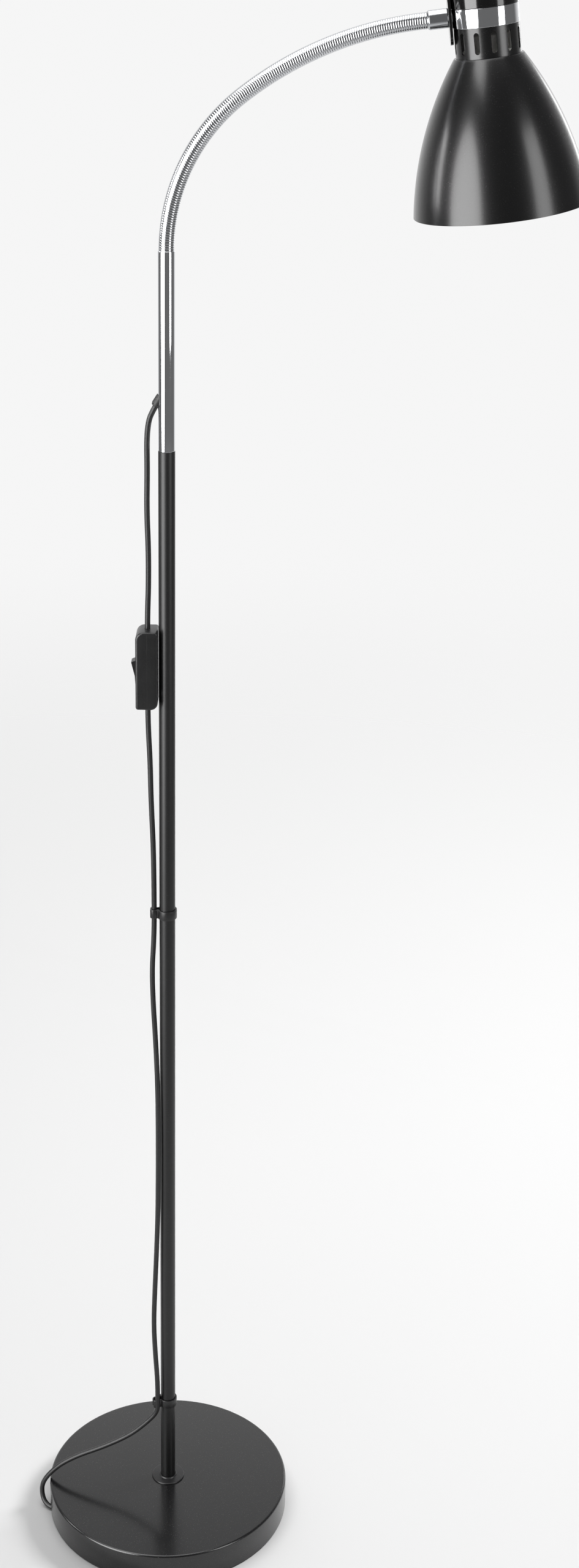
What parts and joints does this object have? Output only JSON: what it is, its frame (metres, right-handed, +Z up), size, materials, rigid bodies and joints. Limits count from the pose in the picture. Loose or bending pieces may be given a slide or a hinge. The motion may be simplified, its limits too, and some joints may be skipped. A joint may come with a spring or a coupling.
{
  "type": "adjustable arm floor lamp",
  "caption": "Floor lamp with a round weighted base, a slim straight pole, a curved flexible neck and a bell-shaped shade, with an in-line rocker switch on its lead.",
  "frame": {"origin": "centre of the base's underside, on the floor", "axes": "+Z up along the pole; +X towards the side that the neck leans to; +Y away from the side that the lead hangs on, to the back"},
  "size_m": [0.49, 0.25, 1.5606],
  "materials": {
    "black_gloss": "gloss black lacquer",
    "chrome": "polished chrome plate",
    "black_plastic": "semi-gloss black",
    "matt_plastic": "matt black",
    "cord_sheath": "smooth black PVC sheath",
    "foot_rubber": "matt rubber",
    "steel": "zinc plated",
    "cast_iron": "raw casting",
    "brass": "plain brass",
    "porcelain": "glazed white porcelain"
  },
  "bodies": {
    "stand": {"base_cover": "black_gloss", "base_weight": "cast_iron", "base_edge_trim": "foot_rubber", "centre_foot": "foot_rubber", "stud_washer": "steel", "stud_nut": "steel", "pole_stud": "steel", "foot_collar": "black_plastic", "pole_tube": "black_gloss", "pole_foot_insert": "steel", "pole_coupler": "steel", "upright_tube": "chrome", "cord_bush": "black_plastic", "neck_socket": "steel", "clip_upper": "black_plastic", "clip_lower": "black_plastic", "neck_link_01": "chrome", "switch_front": "black_plastic", "switch_back": "black_plastic", "rocker_pin": "steel", "switch_screws": "steel", "switch_contacts": "brass", "switch_clamps": "matt_plastic", "cord_upper": "cord_sheath", "cord_lower": "cord_sheath", "cord_tail": "cord_sheath", "cord_coil": "cord_sheath", "coil_tie": "matt_plastic", "cord_lead": "cord_sheath", "plug_body": "matt_plastic", "plug_pins": "brass"},
    "neck_02": {"neck_link_02": "chrome"},
    "neck_03": {"neck_link_03": "chrome"},
    "neck_04": {"neck_link_04": "chrome"},
    "neck_05": {"neck_link_05": "chrome"},
    "neck_06": {"neck_link_06": "chrome"},
    "neck_07": {"neck_link_07": "chrome"},
    "neck_08": {"neck_link_08": "chrome"},
    "neck_09": {"neck_link_09": "chrome"},
    "neck_10": {"neck_link_10": "chrome"},
    "neck_11": {"neck_link_11": "chrome"},
    "head": {"neck_link_12": "chrome", "neck_ferrule": "chrome", "neck_plate": "black_gloss", "neck_nipple": "steel", "nipple_nut": "steel", "holder_bracket": "steel", "holder_nipple": "steel", "holder_nuts": "steel", "neck_band": "chrome", "top_cap": "black_gloss", "vent_collar": "black_gloss", "lampholder": "porcelain", "socket_shell": "brass", "centre_contact": "brass", "shade_ring": "matt_plastic", "lamp_shade": "black_gloss"},
    "rocker": {"switch_rocker": "black_plastic"}
  },
  "joints": [
    {"name": "neck_lower_bend", "type": "hinge", "parent": "stand", "child": "neck_02", "pos_m": [0.00182, 0, 1.34617], "axis": [0, 1, 0], "range_deg": [-17, 8]},
    {"name": "neck_lower_sideways", "type": "hinge", "parent": "neck_02", "child": "neck_03", "pos_m": [0.00726, 0, 1.36979], "axis": [-0.9549, 0, 0.2968], "range_deg": [-9, 9]},
    {"name": "neck_lower_bend_3", "type": "hinge", "parent": "neck_03", "child": "neck_04", "pos_m": [0.01617, 0, 1.39233], "axis": [0, 1, 0], "range_deg": [-17, 8]},
    {"name": "neck_lower_sideways_4", "type": "hinge", "parent": "neck_04", "child": "neck_05", "pos_m": [0.02837, 0, 1.41327], "axis": [-0.8238, 0, 0.5669], "range_deg": [-9, 9]},
    {"name": "neck_lower_bend_5", "type": "hinge", "parent": "neck_05", "child": "neck_06", "pos_m": [0.04357, 0, 1.43214], "axis": [0, 1, 0], "range_deg": [-17, 8]},
    {"name": "neck_upper_sideways", "type": "hinge", "parent": "neck_06", "child": "neck_07", "pos_m": [0.06144, 0, 1.44852], "axis": [-0.6184, 0, 0.7859], "range_deg": [-9, 9]},
    {"name": "neck_upper_bend", "type": "hinge", "parent": "neck_07", "child": "neck_08", "pos_m": [0.08375, 0, 1.46449], "axis": [0, 1, 0], "range_deg": [-10, 15]},
    {"name": "neck_upper_sideways_8", "type": "hinge", "parent": "neck_08", "child": "neck_09", "pos_m": [0.10743, 0, 1.47834], "axis": [-0.4651, 0, 0.8853], "range_deg": [-9, 9]},
    {"name": "neck_upper_bend_9", "type": "hinge", "parent": "neck_09", "child": "neck_10", "pos_m": [0.13228, 0, 1.48998], "axis": [0, 1, 0], "range_deg": [-10, 15]},
    {"name": "neck_upper_sideways_10", "type": "hinge", "parent": "neck_10", "child": "neck_11", "pos_m": [0.15808, 0, 1.4993], "axis": [-0.2963, 0, 0.9551], "range_deg": [-9, 9]},
    {"name": "neck_upper_bend_11", "type": "hinge", "parent": "neck_11", "child": "head", "pos_m": [0.18463, 0, 1.50622], "axis": [0, 1, 0], "range_deg": [-10, 15]},
    {"name": "switch_rocker_tilt", "type": "hinge", "parent": "stand", "child": "rocker", "pos_m": [-0.025, 0, 0.941], "axis": [0, 1, 0], "range_deg": [0, 18]}
  ],
  "couplings": [
    {"joint": "neck_lower_bend_3", "follows": "neck_lower_bend", "ratio": 1},
    {"joint": "neck_lower_sideways_4", "follows": "neck_lower_sideways", "ratio": 1},
    {"joint": "neck_lower_bend_5", "follows": "neck_lower_bend", "ratio": 1},
    {"joint": "neck_upper_sideways_8", "follows": "neck_upper_sideways", "ratio": 1},
    {"joint": "neck_upper_bend_9", "follows": "neck_upper_bend", "ratio": 1},
    {"joint": "neck_upper_sideways_10", "follows": "neck_upper_sideways", "ratio": 1},
    {"joint": "neck_upper_bend_11", "follows": "neck_upper_bend", "ratio": 1}
  ]
}
